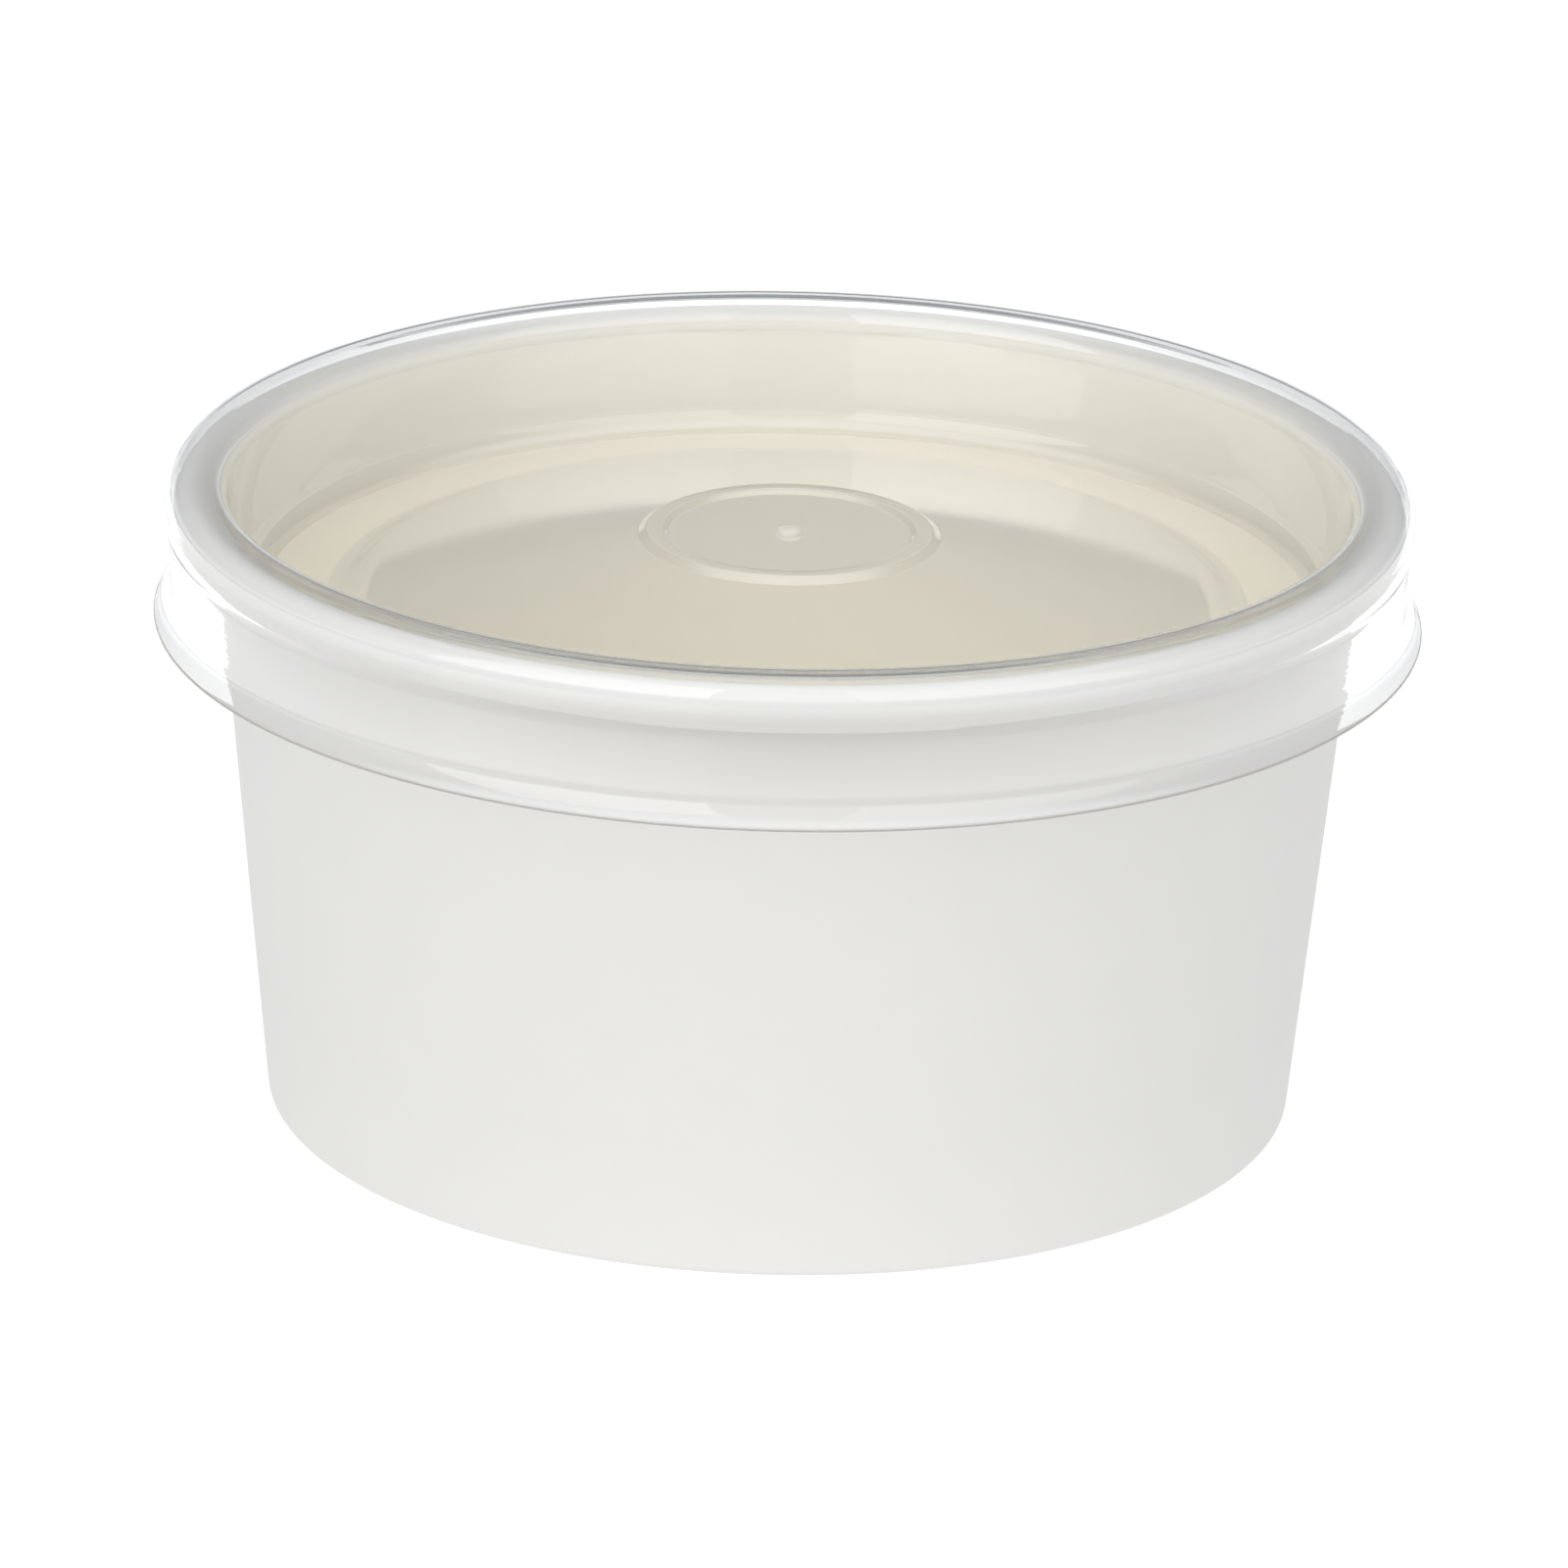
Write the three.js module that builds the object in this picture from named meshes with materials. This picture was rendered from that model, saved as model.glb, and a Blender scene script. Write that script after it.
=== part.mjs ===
// A round paper portion cup with its clear press-on lid: the side wall with its rolled rim and
// folded foot, the bottom disc held in the foot, and the lid pressed over the rim.
// Millimetres, +Z up. The foot stands on z = 0 and the cup's axis is the Z axis.

import * as THREE from 'three';

// ---- Driving dimensions ---------------------------------------------------

const SEGMENTS = 48; // flat facets around the axis, the same on every piece
const GAP = 0.3; // clearance between pieces that touch on the real cup

// Cup
const PAPER = 0.4; // thickness of the coated paper
const FOOT_RADIUS = 37.7; // outside of the wall where it stands
const WALL_SLOPE = 0.0945; // how far the wall leans out for each millimetre of height
const RIM_HEIGHT = 46.6; // top of the rolled rim
const RIM_ROLL_RADIUS = 1.55; // outside of the roll of paper
const RIM_ROLL_TURN = THREE.MathUtils.degToRad(285); // how far the paper is rolled round
const FOLD_HEIGHT = 5.4; // height of the paper folded back up inside the foot
const FOLD_RADIUS = 0.6; // rounding of the two folds on the ground
const FLOOR_HEIGHT = 6.4; // top of the bottom disc
const FLANGE_BOTTOM = 1.0; // where the disc's turned-down edge ends
const FLANGE_BEND = 0.8; // rounding between the disc and its edge

// Lid, all taken on its upper and outer skin
const PLASTIC = 0.5; // thickness of the lid
const LID_HEIGHT = 47.6; // top of the rounded channel that clips over the rim
const LID_RADIUS = 45.5; // outside of that channel
const CHANNEL_ROUND = 1.95; // rounding of the channel's two upper corners
const PLUG_TOP_RADIUS = 41.05; // the plug wall, at the height of the channel's top
const PLUG_BOTTOM_RADIUS = 39.9; // the plug wall, at the moat's floor
const PLUG_FILLET = 1.7; // rounding between plug wall and moat
const MOAT_HEIGHT = 38.0; // floor of the ring-shaped moat round the centre panel
const PANEL_FOOT_RADIUS = 32.7; // where the panel's sloping edge meets the moat
const PANEL_FOOT_FILLET = 2.5;
const PANEL_RADIUS = 30.9; // the panel's shoulder
const PANEL_EDGE_HEIGHT = 39.3; // the panel at its shoulder
const PANEL_SHOULDER = 4.0; // rounding of the shoulder
const RING_FOOT_RADIUS = 10.95; // where the panel's shallow cone meets the raised ring
const RING_FOOT_HEIGHT = 42.8;
const RING_OUTER_RADIUS = 10.45; // the ring's flat top, from here
const RING_INNER_RADIUS = 9.25; // to here
const RING_HEIGHT = 43.2;
const RING_ROUND = 1.2; // rounding of the ring's outer edge
const DISC_RADIUS = 8.8; // the flat disc inside the ring
const DISC_HEIGHT = 42.9;
const GATE_RADIUS = 0.95; // the nub left by the moulding gate
const GATE_HEIGHT = 43.4;
const UNDERCUT_HEIGHT = 44.1; // the skirt steps in under the rolled rim, from here
const SKIRT_RADIUS = 45.15; // the skirt below that step
const SKIRT_TOP = 43.2;
const FLARE_HEIGHT = 39.0; // where the skirt starts to flare into the hem
const FLARE_ROUND = 1.5;
const HEM_RADIUS = 46.3; // the hem's lower edge
const HEM_HEIGHT = 37.15;

// ---- Profiles: points (radius, height), in the half plane of the axis ------

// A path through corners [radius, height, rounding, steps], each rounded corner drawn as an arc.
function roundedPath(corners) {
  const points = [];
  corners.forEach(([r, z, rounding = 0, steps = 1], i) => {
    const corner = new THREE.Vector2(r, z);
    if (!rounding) {
      points.push(corner);
      return;
    }
    const toPrevious = new THREE.Vector2(...corners[i - 1].slice(0, 2)).sub(corner).normalize();
    const toNext = new THREE.Vector2(...corners[i + 1].slice(0, 2)).sub(corner).normalize();
    const halfAngle = Math.acos(toPrevious.dot(toNext)) / 2;
    const bisector = toPrevious.clone().add(toNext).normalize();
    const centre = corner.clone().addScaledVector(bisector, rounding / Math.sin(halfAngle));
    const start = corner.clone().addScaledVector(toPrevious, rounding / Math.tan(halfAngle));
    const turn = Math.sign(toNext.cross(toPrevious)) * (Math.PI - 2 * halfAngle);
    for (let k = 0; k <= steps; k += 1) {
      points.push(start.clone().rotateAround(centre, (turn * k) / steps));
    }
  });
  return points;
}

// The closed outline of a sheet: one face is the path, the other lies at the given thickness on
// the path's left, or on its right where the thickness is negative.
function sheetOutline(path, thickness) {
  const otherFace = path.map((point, i) => {
    const before = path[Math.max(i - 1, 0)];
    const after = path[Math.min(i + 1, path.length - 1)];
    const along = [[before, point], [point, after]]
      .filter(([a, b]) => a !== b)
      .map(([a, b]) => b.clone().sub(a).normalize());
    const mean = along.reduce((sum, d) => sum.clone().add(d)).normalize();
    const reach = thickness / mean.dot(along[0]);
    return new THREE.Vector2(point.x - mean.y * reach, point.y + mean.x * reach);
  });
  return [...path, ...otherFace.reverse()];
}

// The free end of a profile that starts on the axis, brought back to it.
function endOnAxis(outline) {
  outline[outline.length - 1].x = 0;
  return outline;
}

// ---- The three pieces ------------------------------------------------------

// Outer face of the wall: up the inside of the folded foot is the start, the roll is the end.
function wallProfile() {
  const lean = Math.atan(WALL_SLOPE);
  const outside = (z) => FOOT_RADIUS + WALL_SLOPE * z;
  const footWidth = 3 * PAPER + 2 * GAP;
  const foot = roundedPath([
    [outside(FOLD_HEIGHT) - footWidth, FOLD_HEIGHT],
    [outside(0) - footWidth, 0, FOLD_RADIUS, 2],
    [outside(0), 0, FOLD_RADIUS, 2],
    [outside(RIM_HEIGHT), RIM_HEIGHT],
  ]).slice(0, -1);

  const bend = RIM_ROLL_RADIUS - PAPER;
  const centreZ = RIM_HEIGHT - RIM_ROLL_RADIUS;
  const centre = new THREE.Vector2(outside(centreZ) + bend / Math.cos(lean), centreZ);
  const steps = 8;
  const roll = [];
  for (let k = 0; k <= steps; k += 1) {
    const angle = Math.PI - lean - (RIM_ROLL_TURN * k) / steps;
    const direction = new THREE.Vector2(Math.cos(angle), Math.sin(angle));
    roll.push(direction.multiplyScalar(bend).add(centre));
  }

  const outline = sheetOutline([...foot, ...roll], PAPER);
  return [...outline, outline[0].clone()];
}

// Upper and outer face of the bottom disc, from the axis to the end of its turned-down edge.
function baseProfile() {
  const flange = (z) => FOOT_RADIUS + WALL_SLOPE * z - PAPER - GAP;
  return endOnAxis(sheetOutline(roundedPath([
    [0, FLOOR_HEIGHT],
    [flange(FLOOR_HEIGHT), FLOOR_HEIGHT, FLANGE_BEND, 2],
    [flange(FLANGE_BOTTOM), FLANGE_BOTTOM],
  ]), -PAPER));
}

// Upper and outer face of the lid, from the axis to the hem.
function lidProfile() {
  const skin = roundedPath([
    [0, DISC_HEIGHT],
    [DISC_RADIUS, DISC_HEIGHT],
    [RING_INNER_RADIUS, RING_HEIGHT],
    [RING_OUTER_RADIUS, RING_HEIGHT, RING_ROUND, 2],
    [RING_FOOT_RADIUS, RING_FOOT_HEIGHT],
    [PANEL_RADIUS, PANEL_EDGE_HEIGHT, PANEL_SHOULDER, 2],
    [PANEL_FOOT_RADIUS, MOAT_HEIGHT, PANEL_FOOT_FILLET, 1],
    [PLUG_BOTTOM_RADIUS, MOAT_HEIGHT, PLUG_FILLET, 2],
    [PLUG_TOP_RADIUS, LID_HEIGHT, CHANNEL_ROUND, 3],
    [LID_RADIUS, LID_HEIGHT, CHANNEL_ROUND, 3],
    [LID_RADIUS, UNDERCUT_HEIGHT],
    [SKIRT_RADIUS, SKIRT_TOP],
    [SKIRT_RADIUS, FLARE_HEIGHT, FLARE_ROUND, 2],
    [HEM_RADIUS, HEM_HEIGHT],
  ]);
  const gate = [
    new THREE.Vector2(0, GATE_HEIGHT),
    new THREE.Vector2(GATE_RADIUS, GATE_HEIGHT),
    new THREE.Vector2(GATE_RADIUS, DISC_HEIGHT),
  ];
  return endOnAxis([...gate, ...sheetOutline(skin, -PLASTIC).slice(1)]);
}

// Profiles run with the material on their left or right alike; the lathe needs them one way.
function turned(name, profile, material) {
  const points = THREE.ShapeUtils.area(profile) > 0 ? profile : [...profile].reverse();
  const geometry = new THREE.LatheGeometry(points, SEGMENTS).rotateX(Math.PI / 2);
  const mesh = new THREE.Mesh(geometry, material);
  mesh.name = name;
  return mesh;
}

// ---- The cup with its lid ---------------------------------------------------

const wallPaper = new THREE.MeshStandardMaterial({ color: '#f1f0ec', roughness: 0.55, metalness: 0 });
const basePaper = new THREE.MeshStandardMaterial({ color: '#eeece4', roughness: 0.6, metalness: 0 });
const clearPlastic = new THREE.MeshStandardMaterial({
  color: '#e9ebee', roughness: 0.12, metalness: 0, transparent: true, opacity: 0.35,
});

const cup = new THREE.Group();
cup.add(
  turned('cup_wall', wallProfile(), wallPaper),
  turned('cup_base', baseProfile(), basePaper),
  turned('lid', lidProfile(), clearPlastic),
);

export default cup;
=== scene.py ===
"""A white paper portion cup closed by a clear press-on lid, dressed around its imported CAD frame.

Lengths are in metres in the frame and in Blender. The profiles of the three pieces are drawn in
millimetres, as (radius, height) in the half plane of the cup's axis, and turned round it.
"""

from math import acos, atan, cos, pi, radians, sin, tan

import bpy
from mathutils import Matrix, Vector


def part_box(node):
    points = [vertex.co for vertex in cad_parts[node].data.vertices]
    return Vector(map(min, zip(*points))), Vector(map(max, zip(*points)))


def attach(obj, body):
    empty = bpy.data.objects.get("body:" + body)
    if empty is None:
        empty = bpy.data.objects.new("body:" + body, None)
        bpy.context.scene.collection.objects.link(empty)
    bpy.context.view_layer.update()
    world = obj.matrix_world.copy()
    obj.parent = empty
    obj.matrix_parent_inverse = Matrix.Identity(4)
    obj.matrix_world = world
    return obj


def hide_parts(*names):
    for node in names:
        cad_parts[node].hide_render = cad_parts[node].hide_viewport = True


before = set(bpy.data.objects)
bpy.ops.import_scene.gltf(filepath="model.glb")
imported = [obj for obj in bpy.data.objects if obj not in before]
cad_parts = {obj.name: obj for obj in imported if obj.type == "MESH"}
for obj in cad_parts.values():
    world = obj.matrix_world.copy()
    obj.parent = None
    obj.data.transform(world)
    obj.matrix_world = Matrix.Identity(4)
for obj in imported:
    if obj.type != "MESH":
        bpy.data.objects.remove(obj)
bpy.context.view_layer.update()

MM = 0.001

# ---- Dimensions in millimetres -----------------------------------------------

WALL_HIGH = Vector(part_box("cup_wall")[1]) / MM
LID_HIGH = Vector(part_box("lid")[1]) / MM
BASE_LOW, BASE_HIGH = (Vector(corner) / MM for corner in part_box("cup_base"))

# Cup
PAPER = 0.4  # thickness of the coated board
FOOT_RADIUS = 37.7  # outside of the wall where it stands
WALL_SLOPE = 0.0945  # how far the wall leans out for each millimetre of height
WALL_ROWS = 24  # rows of faces up the wall
RIM_ROLL_RADIUS = 1.66  # outside of the roll of paper
RIM_HEIGHT = WALL_HIGH.z
RIM_ROLL_TURN = radians(290)
FOLD_HEIGHT = 5.4  # the paper folded back up inside the foot
FOOT_WIDTH = 1.7
FOLD_RADIUS = 0.6
FLOOR_HEIGHT = BASE_HIGH.z
FLANGE_BOTTOM = BASE_LOW.z
FLANGE_BEND = 0.8
FLANGE_GAP = 0.25  # between the wall and the disc's turned-down edge

# Lid, on its upper and outer skin
PLASTIC = 0.3  # thickness of the clear sheet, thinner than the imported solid's
LID_HEIGHT = LID_HIGH.z
LID_RADIUS = 45.5  # outside of the channel over the rim
CHANNEL_ROUND = 1.95
PLUG_TOP_RADIUS = 41.05
PLUG_BOTTOM_RADIUS = 39.9
PLUG_FILLET = 1.7
MOAT_HEIGHT = 38.0
PANEL_FOOT_RADIUS = 32.7
PANEL_FOOT_FILLET = 2.5
PANEL_RADIUS = 30.9
PANEL_EDGE_HEIGHT = 39.3
PANEL_SHOULDER = 4.0
RING_FOOT_RADIUS = 11.05
RING_FOOT_HEIGHT = 42.8
RING_FOOT_FILLET = 0.35
RING_OUTER_RADIUS = 10.45
RING_INNER_RADIUS = 9.25
RING_HEIGHT = 43.3
RING_ROUND = 0.6
DISC_RADIUS = 8.8
DISC_HEIGHT = 42.97
DISC_FILLET = 0.4
GATE_RADIUS = 0.95
GATE_HEIGHT = 43.4
GATE_ROUND = 0.4
UNDERCUT_HEIGHT = 44.1
SKIRT_RADIUS = 45.15
SKIRT_TOP = 43.2
SKIRT_STEP_ROUND = 1.0
FLARE_HEIGHT = 39.0
HEM_RADIUS = LID_HIGH.x - 0.1  # on the upper skin; the rounded edge reaches further out
HEM_HEIGHT = 37.15
# The hem is one arc that starts upright at the skirt and ends at the hem's edge.
FLARE_TURN = 2 * atan((HEM_RADIUS - SKIRT_RADIUS) / (FLARE_HEIGHT - HEM_HEIGHT))
FLARE_ROUND = (FLARE_HEIGHT - HEM_HEIGHT) / sin(FLARE_TURN)
FLARE_STEPS = 9
EDGE_STEPS = 6  # round the cut edge of the sheet

ARC_STEP = radians(7)  # each step of a rounding
SUPPORT = 0.1  # from each end of a long straight run to the point that keeps its shading straight
TURN_STEPS = 288  # steps round the axis
SMOOTH_UP_TO = radians(40)  # edges that turn further than this stay sharp

# ---- Board and plastic ---------------------------------------------------------

WHITE_BOARD = ((0.80, 0.793, 0.763), (0.78, 0.773, 0.743))
# The inside face is cream; its lightness, above a real board's, is painted light that stands in for
# light coming through the paper
CREAM_BOARD = ((0.962, 0.933, 0.845), (0.948, 0.918, 0.83))
BASE_BOARD = ((0.925, 0.88, 0.735), (0.91, 0.865, 0.72))
BOARD_ROUGHNESS = 0.5
WHITE_PAINTED_LIGHT_SPAN = (10 * MM, 45 * MM)  # painted light: the white board's tone rises from the foot to the rim
WHITE_PAINTED_LIGHT_LEVELS = (0.965, 1.07)
# Painted shade: the roll's inner half, which lies in the shade of the channel's inner bend, is
# darkened, and its outer edge is lightened to meet the white board's painted light. Its tones across
# two radii
ROLL_PAINTED_SHADE_SPAN = (41.6 * MM, 44.8 * MM)
ROLL_PAINTED_SHADE_TONES = [
    (0.0, (0.88, 0.85, 0.775)),
    (0.22, (0.65, 0.638, 0.6)),
    (0.4, (0.65, 0.638, 0.6)),
    (0.7, (0.775, 0.768, 0.738)),
    (1.0, (0.87, 0.863, 0.83)),
]

PLASTIC_IOR = 1.49
# Light let through one face of the plastic: head on, at grazing, and how it falls between them
FACE_CLEARNESS = (0.985, 0.6)
FACE_RISE = 4.0
BEND_RADIUS = 38.7 * MM  # the bend at the foot of the plug wall throws light aside
BEND_REACH = (0.8 * MM, 1.9 * MM)  # in full up to the first distance, not at all past the other
BEND_SHADE = 0.82
STREAK_TURNS = 3.0  # streaks drawn round the rim and skirt: how many in a radian
STREAK_PITCH = 0.75 * MM
STREAK_DEPTH = 0.009 * MM
STREAK_FADE = (43.2 * MM, 45.0 * MM)  # none inside the first radius, all of them past the other

THIN_RADIUS = 35.0  # in mm: the sheet's upper face bends no light inside this radius
THIN_UNDER_RADIUS = 36.8  # nor does its underside inside this one
THIN_CLEARNESS = 0.97
THIN_ROUGHNESS = 0.12
# What the two faces of the thin sheet mirror together: head on, and how it rises to grazing
SHEET_GLOSS = 0.077
SHEET_GLOSS_RISE = 3.45
STEP_SLOPE = cos(radians(20))  # the ring's steps are steeper than this
STEP_CLEARNESS = 0.86  # and throw part of the light aside

# ---- Camera and studio ---------------------------------------------------------

CAMERA_BACK = 0.7563  # in front of the axis
CAMERA_UP = 0.3010  # above the floor
CAMERA_TILT = radians(20.15)
CAMERA_ROLL = radians(1.27)
FIELD_OF_VIEW = radians(8.18)

FLOOR_SIZE = 12.0
FLOOR_CENTRE = (0.0, 0.25, 0.0)  # middle of the lit part of the floor
FLOOR_LIT = 0.345  # it is white up to here
FLOOR_DARK = 0.5  # and dark from here
FLOOR_GLOW = (0.97, 0.02)

SOFTBOX_DISTANCE = 1.3
SOFTBOX_AZIMUTH = radians(40)  # to either side of the camera
SOFTBOX_BOTTOM = 0.28
SOFTBOX_SIZE = (1.3, 1.7)
SOFTBOX_RADIANCE = {"left": 1.0, "right": 0.42}
# The room's brightness by the height of the direction, in front of the cup and behind it
ROOM_FRONT = [(0.0, 0.1), (0.12, 0.3), (0.25, 0.95), (0.6, 1.1), (0.8, 1.3), (1.0, 2.2)]
ROOM_BACK = [
    (0.0, 0.9), (0.05, 0.75), (0.15, 0.3), (0.4, 0.25),
    (0.6, 0.1), (0.72, 0.1), (0.88, 1.5), (1.0, 2.2),
]
ROOM_PEAK = 2.2
ROOM_BLEND = (-0.75, 0.0)
ROOM_FRONT_TINT = (1.0, 1.0, 1.0)
ROOM_BACK_TINT = (0.96, 0.99, 1.03)

BOUNCES = 32  # light crosses many faces of the clear lid
GLOSSY_BOUNCES = 12


def place_camera():
    data = bpy.data.cameras.new("camera")
    data.sensor_fit = "HORIZONTAL"
    data.angle = FIELD_OF_VIEW
    data.clip_start = 0.01
    camera = bpy.data.objects.new("camera", data)
    camera.matrix_world = (
        Matrix.Translation((0.0, -CAMERA_BACK, CAMERA_UP))
        @ Matrix.Rotation(pi / 2 - CAMERA_TILT, 4, "X")
        @ Matrix.Rotation(CAMERA_ROLL, 4, "Z")
    )
    bpy.context.collection.objects.link(camera)
    bpy.context.scene.camera = camera


def place_softboxes():
    width, height = SOFTBOX_SIZE
    for side, sign in (("left", -1), ("right", 1)):
        data = bpy.data.lights.new("softbox_" + side, "AREA")
        data.shape = "RECTANGLE"
        data.size = width
        data.size_y = height
        # An area light's power in watts is pi times its radiance times its area.
        data.energy = SOFTBOX_RADIANCE[side] * width * height * pi
        softbox = bpy.data.objects.new("softbox_" + side, data)
        azimuth = sign * SOFTBOX_AZIMUTH
        outward = Vector((sin(azimuth), -cos(azimuth), 0.0))
        centre = Vector((0.0, 0.0, SOFTBOX_BOTTOM + height / 2))
        softbox.location = outward * SOFTBOX_DISTANCE + centre
        softbox.rotation_euler = outward.to_track_quat("Z", "Y").to_euler()
        bpy.context.collection.objects.link(softbox)


def place_room():
    """A room that is brighter overhead and behind the camera than low down and behind the cup."""
    world = bpy.data.worlds.new("room")
    world.use_nodes = True
    nodes, links = world.node_tree.nodes, world.node_tree.links
    direction = nodes.new("ShaderNodeTexCoord")
    split = nodes.new("ShaderNodeSeparateXYZ")
    links.new(direction.outputs["Generated"], split.inputs["Vector"])
    blend = map_range(nodes, ROOM_BLEND)
    blend.interpolation_type = "SMOOTHSTEP"
    links.new(split.outputs["Y"], blend.inputs["Value"])
    both = nodes.new("ShaderNodeMix")
    both.data_type = "RGBA"
    links.new(blend.outputs["Result"], both.inputs["Factor"])
    sides = (("A", ROOM_FRONT, ROOM_FRONT_TINT), ("B", ROOM_BACK, ROOM_BACK_TINT))
    for side, levels, tint in sides:
        tones = colour_ramp(nodes, [
            (height, [level / ROOM_PEAK * part for part in tint])
            for height, level in levels
        ])
        links.new(split.outputs["Z"], tones.inputs["Fac"])
        links.new(tones.outputs["Color"], both.inputs[side])
    links.new(both.outputs["Result"], nodes["Background"].inputs["Color"])
    nodes["Background"].inputs["Strength"].default_value = ROOM_PEAK
    bpy.context.scene.world = world


# ---- Profiles ---------------------------------------------------------------------


def rounded_path(corners):
    """A path through corners (radius, height, rounding), each rounded corner drawn as an arc."""
    path = []
    for i, (r, z, *rounding) in enumerate(corners):
        corner = Vector((r, z))
        if not rounding:
            path.append(corner)
            continue
        to_previous = (Vector(corners[i - 1][:2]) - corner).normalized()
        to_next = (Vector(corners[i + 1][:2]) - corner).normalized()
        half = acos(max(-1.0, min(1.0, to_previous.dot(to_next)))) / 2
        centre = corner + (to_previous + to_next).normalized() * rounding[0] / sin(half)
        spoke = corner + to_previous * rounding[0] / tan(half) - centre
        crossed = to_next.x * to_previous.y - to_next.y * to_previous.x
        turn = (pi - 2 * half) * (1 if crossed > 0 else -1)
        steps = max(2, round(abs(turn) / ARC_STEP))
        path += [centre + rotated(spoke, turn * k / steps) for k in range(steps + 1)]
    return path


def rotated(v, angle):
    return Vector((v.x * cos(angle) - v.y * sin(angle), v.x * sin(angle) + v.y * cos(angle)))


def other_face(path, thickness):
    """The path moved to its left by thickness, or to its right where that is negative."""
    moved = []
    for i, point in enumerate(path):
        along = []
        if i > 0:
            along.append((point - path[i - 1]).normalized())
        if i < len(path) - 1:
            along.append((path[i + 1] - point).normalized())
        mean = sum(along, Vector((0.0, 0.0))).normalized()
        reach = thickness / mean.dot(along[0])
        moved.append(Vector((point.x - mean.y * reach, point.y + mean.x * reach)))
    return moved


def wall_faces():
    """The wall's outer face, from the folded foot's free end to the roll's, and its inner face."""
    def outside(z):
        return FOOT_RADIUS + WALL_SLOPE * z

    foot = rounded_path([
        (outside(FOLD_HEIGHT) - FOOT_WIDTH, FOLD_HEIGHT),
        (outside(0) - FOOT_WIDTH, 0, FOLD_RADIUS),
        (outside(0), 0, FOLD_RADIUS),
        (outside(RIM_HEIGHT), RIM_HEIGHT),
    ])[:-1]
    lean = atan(WALL_SLOPE)
    bend = RIM_ROLL_RADIUS - PAPER
    centre_z = RIM_HEIGHT - RIM_ROLL_RADIUS
    centre = Vector((outside(centre_z) + bend / cos(lean), centre_z))
    steps = round(RIM_ROLL_TURN / ARC_STEP)
    roll = []
    for k in range(steps + 1):
        angle = pi - lean - RIM_ROLL_TURN * k / steps
        roll.append(centre + bend * Vector((cos(angle), sin(angle))))
    wall = [foot[-1].lerp(roll[0], k / WALL_ROWS) for k in range(1, WALL_ROWS)]
    outer = foot + wall + roll
    return outer, other_face(outer, PAPER)


def base_outline():
    def flange(z):
        return FOOT_RADIUS + WALL_SLOPE * z - PAPER - FLANGE_GAP

    top = rounded_path([
        (0, FLOOR_HEIGHT),
        (flange(FLOOR_HEIGHT), FLOOR_HEIGHT, FLANGE_BEND),
        (flange(FLANGE_BOTTOM), FLANGE_BOTTOM),
    ])
    return on_axis(with_supports(top + other_face(top, -PAPER)[::-1]))


def lid_outline():
    skin = rounded_path([
        (0, DISC_HEIGHT),
        (DISC_RADIUS, DISC_HEIGHT, DISC_FILLET),
        (RING_INNER_RADIUS, RING_HEIGHT, RING_ROUND),
        (RING_OUTER_RADIUS, RING_HEIGHT, RING_ROUND),
        (RING_FOOT_RADIUS, RING_FOOT_HEIGHT, RING_FOOT_FILLET),
        (PANEL_RADIUS, PANEL_EDGE_HEIGHT, PANEL_SHOULDER),
        (PANEL_FOOT_RADIUS, MOAT_HEIGHT, PANEL_FOOT_FILLET),
        (PLUG_BOTTOM_RADIUS, MOAT_HEIGHT, PLUG_FILLET),
        (PLUG_TOP_RADIUS, LID_HEIGHT, CHANNEL_ROUND),
        (LID_RADIUS, LID_HEIGHT, CHANNEL_ROUND),
        (LID_RADIUS, UNDERCUT_HEIGHT, SKIRT_STEP_ROUND),
        (SKIRT_RADIUS, SKIRT_TOP, SKIRT_STEP_ROUND),
        (SKIRT_RADIUS, FLARE_HEIGHT),
    ])
    for k in range(1, FLARE_STEPS + 1):
        angle = FLARE_TURN * k / FLARE_STEPS
        out = FLARE_ROUND * (1 - cos(angle))
        down = FLARE_ROUND * sin(angle)
        skin.append(Vector((SKIRT_RADIUS + out, FLARE_HEIGHT - down)))
    under = other_face(skin, -PLASTIC)[::-1]
    middle = (skin[-1] + under[0]) / 2
    spoke = skin[-1] - middle
    edge = [middle + rotated(spoke, -pi * k / EDGE_STEPS) for k in range(1, EDGE_STEPS)]
    gate = rounded_path([
        (0, GATE_HEIGHT),
        (GATE_RADIUS, GATE_HEIGHT, GATE_ROUND),
        (GATE_RADIUS, DISC_HEIGHT),
    ])
    return on_axis(with_supports(gate + skin[1:] + edge + under))


def with_supports(outline):
    """Points close to both ends of every long straight run, which keep its shading straight too."""
    supported = [outline[0]]
    for start, end in zip(outline, outline[1:]):
        run = (end - start).length
        if run > 5 * SUPPORT:
            supported += [start.lerp(end, SUPPORT / run), end.lerp(start, SUPPORT / run)]
        supported.append(end)
    return supported


def on_axis(outline):
    outline[-1].x = 0.0
    return outline


# ---- Turned meshes -------------------------------------------------------------------


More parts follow.
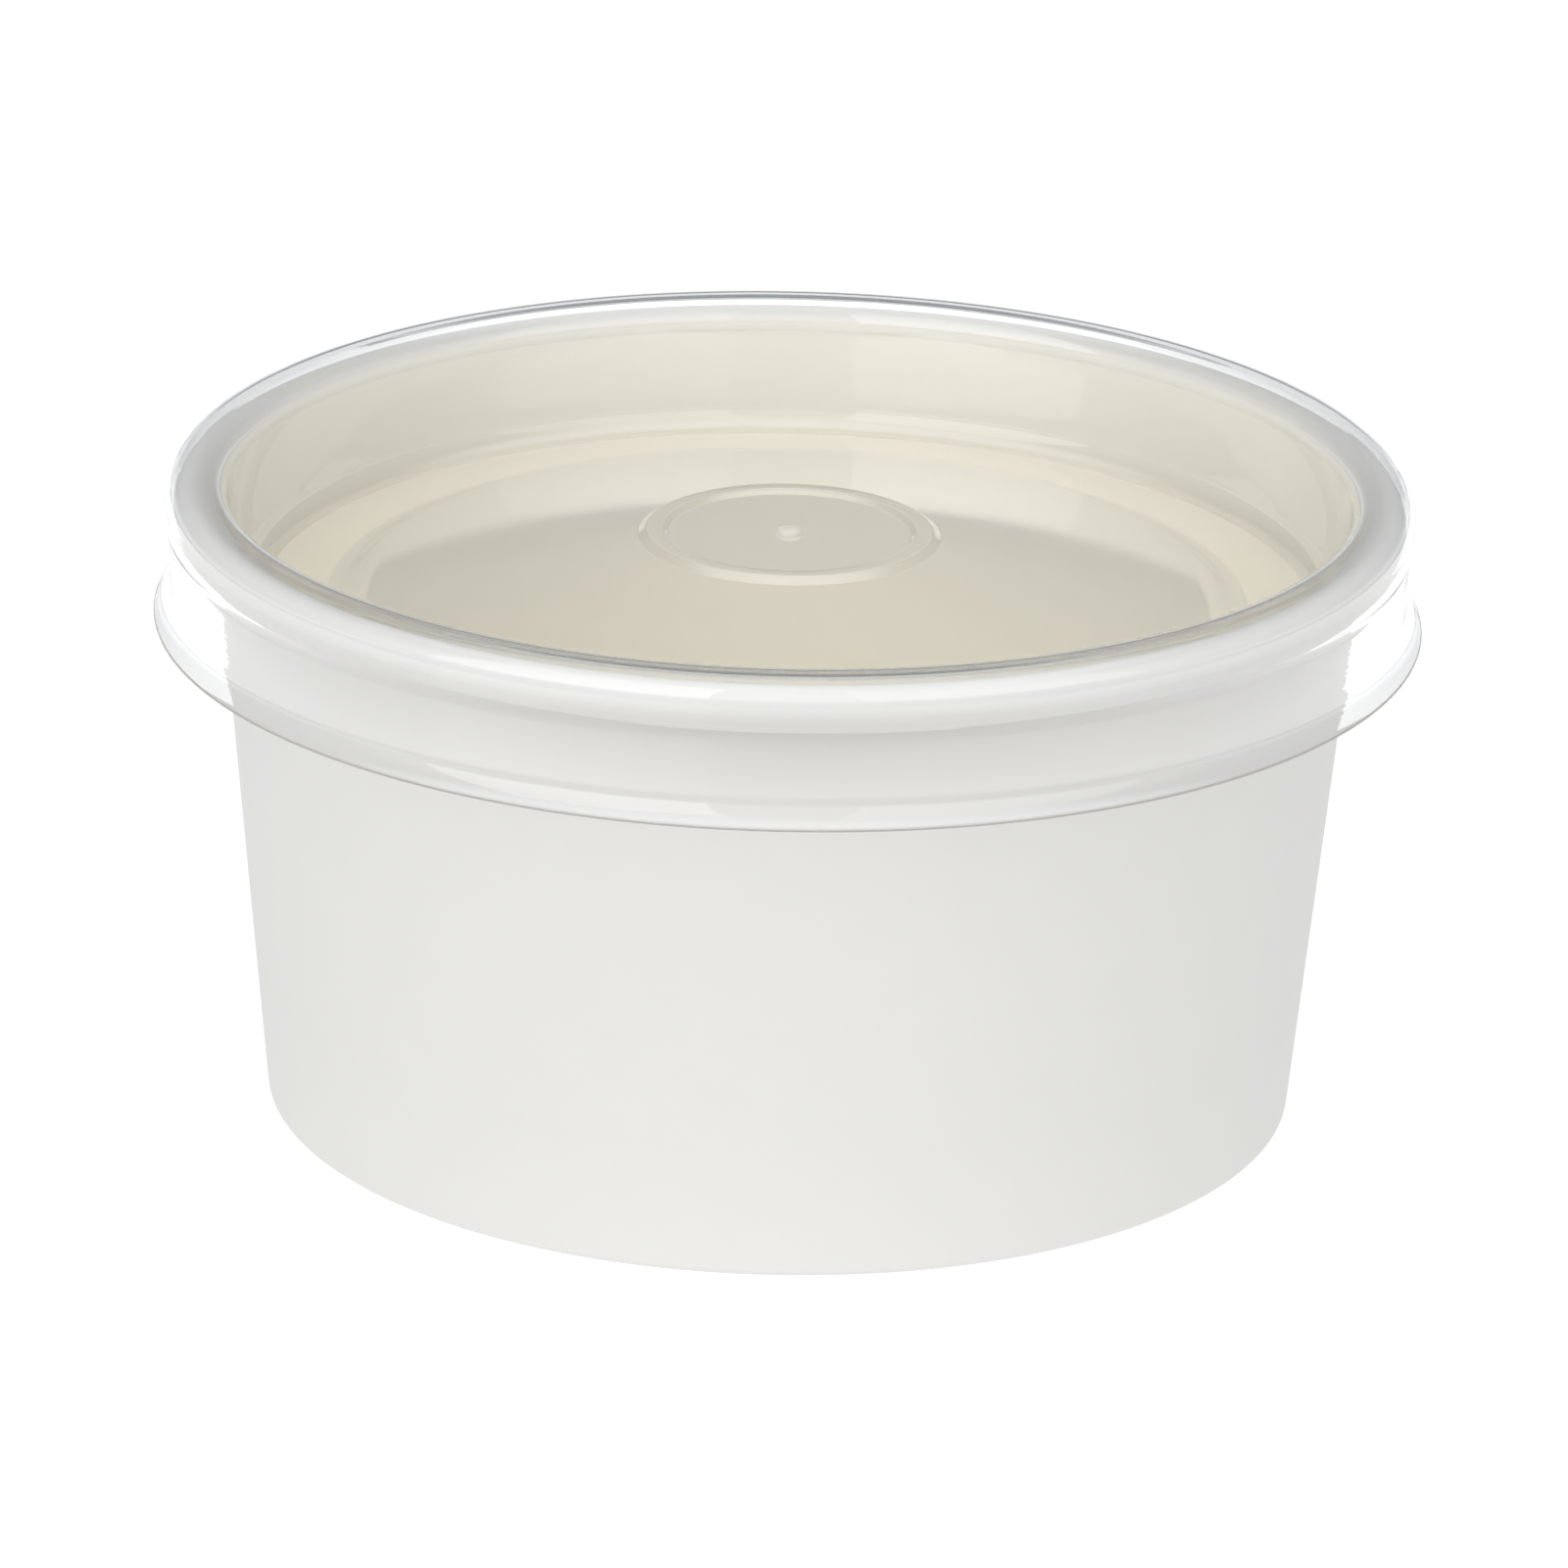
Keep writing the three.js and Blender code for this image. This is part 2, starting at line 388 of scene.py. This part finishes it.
def turned(name, outline, closed=False):
    """The outline turned round the Z axis, faces outward. An open outline's ends lie on the axis."""
    area = sum(p.x * q.y - q.x * p.y for p, q in zip(outline, outline[1:] + outline[:1]))
    if area < 0:
        outline = outline[::-1]
    vertices = []
    rings = []
    for point in outline:
        radius, height = point * MM
        if point.x < 1e-6:
            rings.append([len(vertices)] * TURN_STEPS)
            vertices.append((0.0, 0.0, height))
            continue
        rings.append(range(len(vertices), len(vertices) + TURN_STEPS))
        for k in range(TURN_STEPS):
            angle = 2 * pi * k / TURN_STEPS
            vertices.append((radius * cos(angle), radius * sin(angle), height))
    faces = []
    pairs = list(zip(rings, rings[1:]))
    if closed:
        pairs.append((rings[-1], rings[0]))
    for low, high in pairs:
        for k in range(TURN_STEPS):
            m = (k + 1) % TURN_STEPS
            corners = [low[k], low[m], high[m], high[k]]
            faces.append([v for i, v in enumerate(corners) if v != corners[i - 1]])
    mesh = bpy.data.meshes.new(name)
    mesh.from_pydata(vertices, [], faces)
    mesh.update()
    piece = bpy.data.objects.new(name, mesh)
    bpy.context.collection.objects.link(piece)
    mesh.shade_smooth()
    mesh.set_sharp_from_angle(angle=SMOOTH_UP_TO)
    return piece


# ---- Shader pieces ---------------------------------------------------------------------


def new_material(name):
    material = bpy.data.materials.new(name)
    material.use_nodes = True
    return material, material.node_tree.nodes, material.node_tree.links


def map_range(nodes, start, end=(0.0, 1.0)):
    node = nodes.new("ShaderNodeMapRange")
    node.inputs["From Min"].default_value, node.inputs["From Max"].default_value = start
    node.inputs["To Min"].default_value, node.inputs["To Max"].default_value = end
    return node


def colour_ramp(nodes, tones):
    ramp = nodes.new("ShaderNodeValToRGB")
    stops = ramp.color_ramp.elements
    while len(stops) < len(tones):
        stops.new(1.0)
    for stop, (position, tone) in zip(stops, tones):
        stop.position = position
        stop.color = (*tone, 1.0)
    return ramp


def arithmetic(nodes, links, operation, first, second=None):
    """The result of a Math node. Each value is a socket or a number."""
    node = nodes.new("ShaderNodeMath")
    node.operation = operation
    for value, place in zip((first, second), node.inputs):
        if isinstance(value, float):
            place.default_value = value
        elif value is not None:
            links.new(value, place)
    return node.outputs["Value"]


def scaled(nodes, links, vector, factor):
    node = nodes.new("ShaderNodeVectorMath")
    node.operation = "SCALE"
    links.new(vector, node.inputs[0])
    links.new(factor, node.inputs["Scale"])
    return node.outputs["Vector"]


def height_of_point(nodes, links):
    place = nodes.new("ShaderNodeTexCoord")
    split = nodes.new("ShaderNodeSeparateXYZ")
    links.new(place.outputs["Object"], split.inputs["Vector"])
    return split.outputs["Z"]


def offset_from_axis(nodes, links):
    """The shaded point's horizontal offset from the axis."""
    place = nodes.new("ShaderNodeTexCoord")
    flat = nodes.new("ShaderNodeVectorMath")
    flat.operation = "MULTIPLY"
    flat.inputs[1].default_value = (1.0, 1.0, 0.0)
    links.new(place.outputs["Object"], flat.inputs[0])
    return flat.outputs["Vector"]


def radius_of_point(nodes, links):
    radius = nodes.new("ShaderNodeVectorMath")
    radius.operation = "LENGTH"
    links.new(offset_from_axis(nodes, links), radius.inputs[0])
    return radius.outputs["Value"]


# ---- Board -------------------------------------------------------------------------------


def paper_material(name, tones):
    """Board mottled between two tones, with fine fibres in relief."""
    material, nodes, links = new_material(name)
    surface = nodes["Principled BSDF"]
    surface.inputs["Roughness"].default_value = BOARD_ROUGHNESS
    place = nodes.new("ShaderNodeTexCoord")

    mottle = nodes.new("ShaderNodeTexNoise")
    mottle.inputs["Scale"].default_value = 260.0
    mottle.inputs["Detail"].default_value = 5.0
    tone = nodes.new("ShaderNodeMix")
    tone.data_type = "RGBA"
    for side, colour in zip("AB", tones):
        tone.inputs[side].default_value = (*colour, 1.0)
    links.new(place.outputs["Object"], mottle.inputs["Vector"])
    links.new(mottle.outputs["Fac"], tone.inputs["Factor"])
    links.new(tone.outputs["Result"], surface.inputs["Base Color"])

    fibre = nodes.new("ShaderNodeTexNoise")
    fibre.inputs["Scale"].default_value = 1800.0
    fibre.inputs["Detail"].default_value = 3.0
    relief = nodes.new("ShaderNodeBump")
    relief.inputs["Strength"].default_value = 0.06
    relief.inputs["Distance"].default_value = 0.1 * MM
    links.new(place.outputs["Object"], fibre.inputs["Vector"])
    links.new(fibre.outputs["Fac"], relief.inputs["Height"])
    links.new(relief.outputs["Normal"], surface.inputs["Normal"])
    return material


def white_board_material():
    """The white board, with painted light that makes it a little lighter towards the rim."""
    material = paper_material("white_board", WHITE_BOARD)
    nodes, links = material.node_tree.nodes, material.node_tree.links
    colour = nodes["Principled BSDF"].inputs["Base Color"]
    # painted light: the mottled tone is scaled up with the height of the point
    level = map_range(nodes, WHITE_PAINTED_LIGHT_SPAN, WHITE_PAINTED_LIGHT_LEVELS)
    links.new(height_of_point(nodes, links), level.inputs["Value"])
    mottled = colour.links[0].from_socket
    links.new(scaled(nodes, links, mottled, level.outputs["Result"]), colour)
    return material


def rolled_board_material():
    """The white board where it is rolled, with painted shade that darkens it on the side of the axis
    and painted light towards its outer edge.
    """
    material = paper_material("rolled_board", WHITE_BOARD)
    nodes, links = material.node_tree.nodes, material.node_tree.links
    span = map_range(nodes, ROLL_PAINTED_SHADE_SPAN)
    # painted shade and light: the tones follow the distance from the axis
    tones = colour_ramp(nodes, ROLL_PAINTED_SHADE_TONES)
    links.new(radius_of_point(nodes, links), span.inputs["Value"])
    links.new(span.outputs["Result"], tones.inputs["Fac"])
    links.new(tones.outputs["Color"], nodes["Principled BSDF"].inputs["Base Color"])
    return material


# ---- Plastic -----------------------------------------------------------------------------


def drawing_streaks(nodes, links):
    """Fine streaks round the lid's rim and skirt, as drawn plastic has; none further in."""
    radius = radius_of_point(nodes, links)
    bearing = nodes.new("ShaderNodeVectorMath")
    bearing.operation = "NORMALIZE"
    along = nodes.new("ShaderNodeVectorMath")
    along.operation = "SCALE"
    along.inputs["Scale"].default_value = STREAK_TURNS
    across = nodes.new("ShaderNodeCombineXYZ")
    where = nodes.new("ShaderNodeVectorMath")
    where.operation = "ADD"
    streaks = nodes.new("ShaderNodeTexNoise")
    streaks.inputs["Scale"].default_value = 1.0
    streaks.inputs["Detail"].default_value = 2.0
    fade = map_range(nodes, STREAK_FADE)
    relief = nodes.new("ShaderNodeBump")
    relief.inputs["Strength"].default_value = 1.0
    relief.inputs["Distance"].default_value = STREAK_DEPTH
    profile = arithmetic(nodes, links, "SUBTRACT", radius, height_of_point(nodes, links))
    rows = arithmetic(nodes, links, "MULTIPLY", profile, 1.0 / STREAK_PITCH)
    links.new(offset_from_axis(nodes, links), bearing.inputs[0])
    links.new(bearing.outputs["Vector"], along.inputs[0])
    links.new(rows, across.inputs["Z"])
    links.new(along.outputs["Vector"], where.inputs[0])
    links.new(across.outputs["Vector"], where.inputs[1])
    links.new(where.outputs["Vector"], streaks.inputs["Vector"])
    links.new(radius, fade.inputs["Value"])
    depth = arithmetic(nodes, links, "MULTIPLY", streaks.outputs["Fac"], fade.outputs["Result"])
    links.new(depth, relief.inputs["Height"])
    return relief.outputs["Normal"]


def shade_of_bend(nodes, links):
    """The light let through in a ring round the foot of the plug wall; elsewhere it is 1."""
    offset = arithmetic(nodes, links, "SUBTRACT", radius_of_point(nodes, links), BEND_RADIUS)
    level = map_range(nodes, BEND_REACH, (BEND_SHADE, 1.0))
    links.new(arithmetic(nodes, links, "ABSOLUTE", offset), level.inputs["Value"])
    return level.outputs["Result"]


def rising_to_grazing(nodes, links, levels, power):
    """A value that goes from one level head on to another at a grazing angle."""
    facing = nodes.new("ShaderNodeLayerWeight")
    facing.inputs["Blend"].default_value = 0.5
    rise = arithmetic(nodes, links, "POWER", facing.outputs["Facing"], power)
    level = map_range(nodes, (0.0, 1.0), levels)
    links.new(rise, level.inputs["Value"])
    return level.outputs["Result"]


def plastic_material():
    """Clear plastic. Light on its way to and from the board passes straight through it."""
    material, nodes, links = new_material("clear_plastic")
    surface = nodes["Principled BSDF"]
    surface.inputs["Base Color"].default_value = (0.99, 0.99, 0.99, 1.0)
    surface.inputs["Roughness"].default_value = 0.02
    surface.inputs["IOR"].default_value = PLASTIC_IOR
    surface.inputs["Transmission Weight"].default_value = 1.0
    links.new(drawing_streaks(nodes, links), surface.inputs["Normal"])
    path = nodes.new("ShaderNodeLightPath")
    shadow, diffuse = path.outputs["Is Shadow Ray"], path.outputs["Is Diffuse Ray"]
    unbent = arithmetic(nodes, links, "MAXIMUM", shadow, diffuse)
    face = rising_to_grazing(nodes, links, FACE_CLEARNESS, FACE_RISE)
    passed = arithmetic(nodes, links, "MULTIPLY", face, shade_of_bend(nodes, links))
    through = nodes.new("ShaderNodeBsdfTransparent")
    links.new(passed, through.inputs["Color"])
    both = nodes.new("ShaderNodeMixShader")
    links.new(unbent, both.inputs["Fac"])
    links.new(surface.outputs["BSDF"], both.inputs[1])
    links.new(through.outputs["BSDF"], both.inputs[2])
    links.new(both.outputs["Shader"], nodes["Material Output"].inputs["Surface"])
    return material


def thin_sheet_material(name, clearness):
    """The lid's middle: a sheet too thin to bend what is seen through it, glossy on both faces."""
    material, nodes, links = new_material(name)
    nodes.remove(nodes["Principled BSDF"])
    gloss = nodes.new("ShaderNodeBsdfGlossy")
    gloss.inputs["Color"].default_value = (1.0, 1.0, 1.0, 1.0)
    gloss.inputs["Roughness"].default_value = THIN_ROUGHNESS
    through = nodes.new("ShaderNodeBsdfTransparent")
    through.inputs["Color"].default_value = (clearness, clearness, clearness, 1.0)
    both = nodes.new("ShaderNodeMixShader")
    mirrored = rising_to_grazing(nodes, links, (SHEET_GLOSS, 1.0), SHEET_GLOSS_RISE)
    links.new(mirrored, both.inputs["Fac"])
    links.new(through.outputs["BSDF"], both.inputs[1])
    links.new(gloss.outputs["BSDF"], both.inputs[2])
    links.new(both.outputs["Shader"], nodes["Material Output"].inputs["Surface"])
    return material


def sheet_underside_material():
    """The underside of that middle, whose gloss is counted on its upper face."""
    material, nodes, links = new_material("thin_plastic_underside")
    nodes.remove(nodes["Principled BSDF"])
    through = nodes.new("ShaderNodeBsdfTransparent")
    links.new(through.outputs["BSDF"], nodes["Material Output"].inputs["Surface"])
    return material


def frosted_material():
    """The same plastic where it is broken off at the gate or cut along the hem."""
    material, nodes, links = new_material("frosted_plastic")
    surface = nodes["Principled BSDF"]
    surface.inputs["Base Color"].default_value = (0.72, 0.705, 0.66, 1.0)
    surface.inputs["Roughness"].default_value = 0.5
    surface.inputs["IOR"].default_value = PLASTIC_IOR
    surface.inputs["Transmission Weight"].default_value = 0.4
    return material


def floor_material():
    """White round and behind the cup, fading to grey further out."""
    material, nodes, links = new_material("studio_floor")
    surface = nodes["Principled BSDF"]
    surface.inputs["Base Color"].default_value = (0.05, 0.05, 0.05, 1.0)
    surface.inputs["Roughness"].default_value = 0.12
    surface.inputs["Emission Color"].default_value = (1.0, 1.0, 1.0, 1.0)
    place = nodes.new("ShaderNodeTexCoord")
    reach = nodes.new("ShaderNodeVectorMath")
    reach.operation = "DISTANCE"
    reach.inputs[1].default_value = FLOOR_CENTRE
    glow = map_range(nodes, (FLOOR_LIT, FLOOR_DARK), FLOOR_GLOW)
    glow.interpolation_type = "SMOOTHSTEP"
    links.new(place.outputs["Object"], reach.inputs[0])
    links.new(reach.outputs["Value"], glow.inputs["Value"])
    links.new(glow.outputs["Result"], surface.inputs["Emission Strength"])
    return material


# ---- The cup and its lid -------------------------------------------------------------------


def dress(piece, node, slot, *materials):
    for material in materials:
        piece.data.materials.append(material)
    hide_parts(node)
    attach(piece, "root")


def make_wall():
    outer, inner = wall_faces()
    wall = turned("paper_wall", outer + inner[::-1], closed=True)
    # The inside face's cream board, whose raised lightness is painted light
    cream = paper_material("cream_board", CREAM_BOARD)
    dress(wall, "cup_wall", "wall_paper", white_board_material(), cream, rolled_board_material())
    rim_radius = FOOT_RADIUS + WALL_SLOPE * RIM_HEIGHT
    for face in wall.data.polygons:
        radius = face.center.xy.length / MM
        height = face.center.z / MM
        towards_axis = face.normal.xy.dot(face.center.xy) < 0
        if height > RIM_HEIGHT - RIM_ROLL_RADIUS:
            face.material_index = 2
        elif towards_axis and radius < rim_radius and height > FOLD_HEIGHT:
            face.material_index = 1


def make_base():
    base = turned("paper_base", base_outline())
    dress(base, "cup_base", "base_paper", paper_material("floor_board", BASE_BOARD))


def make_lid():
    lid = turned("clear_lid", lid_outline())
    dress(
        lid, "lid", "clear_plastic",
        plastic_material(),
        frosted_material(),
        thin_sheet_material("thin_plastic", THIN_CLEARNESS),
        sheet_underside_material(),
        thin_sheet_material("thin_plastic_steps", STEP_CLEARNESS),
    )
    for face in lid.data.polygons:
        radius = face.center.xy.length / MM
        height = face.center.z / MM
        along_hem = (radius - HEM_RADIUS) * sin(FLARE_TURN)
        on_gate = radius < GATE_RADIUS and height > DISC_HEIGHT
        past_hem = along_hem > (height - HEM_HEIGHT) * cos(FLARE_TURN)
        if on_gate or past_hem:
            face.material_index = 1
        elif 0 < face.normal.z < STEP_SLOPE and radius < RING_FOOT_RADIUS:
            face.material_index = 4
        elif face.normal.z > 0 and radius < THIN_RADIUS:
            face.material_index = 2
        elif face.normal.z < 0 and radius < THIN_UNDER_RADIUS:
            face.material_index = 3


def make_floor():
    mesh = bpy.data.meshes.new("floor")
    half = FLOOR_SIZE / 2
    corners = [(-half, -half, 0), (half, -half, 0), (half, half, 0), (-half, half, 0)]
    mesh.from_pydata(corners, [], [(0, 1, 2, 3)])
    floor = bpy.data.objects.new("floor", mesh)
    bpy.context.collection.objects.link(floor)
    mesh.materials.append(floor_material())


place_camera()
place_softboxes()
place_room()
make_floor()
make_wall()
make_base()
make_lid()

scene = bpy.context.scene
scene.view_settings.view_transform = "Standard"
scene.cycles.max_bounces = BOUNCES
scene.cycles.transmission_bounces = BOUNCES
scene.cycles.glossy_bounces = GLOSSY_BOUNCES
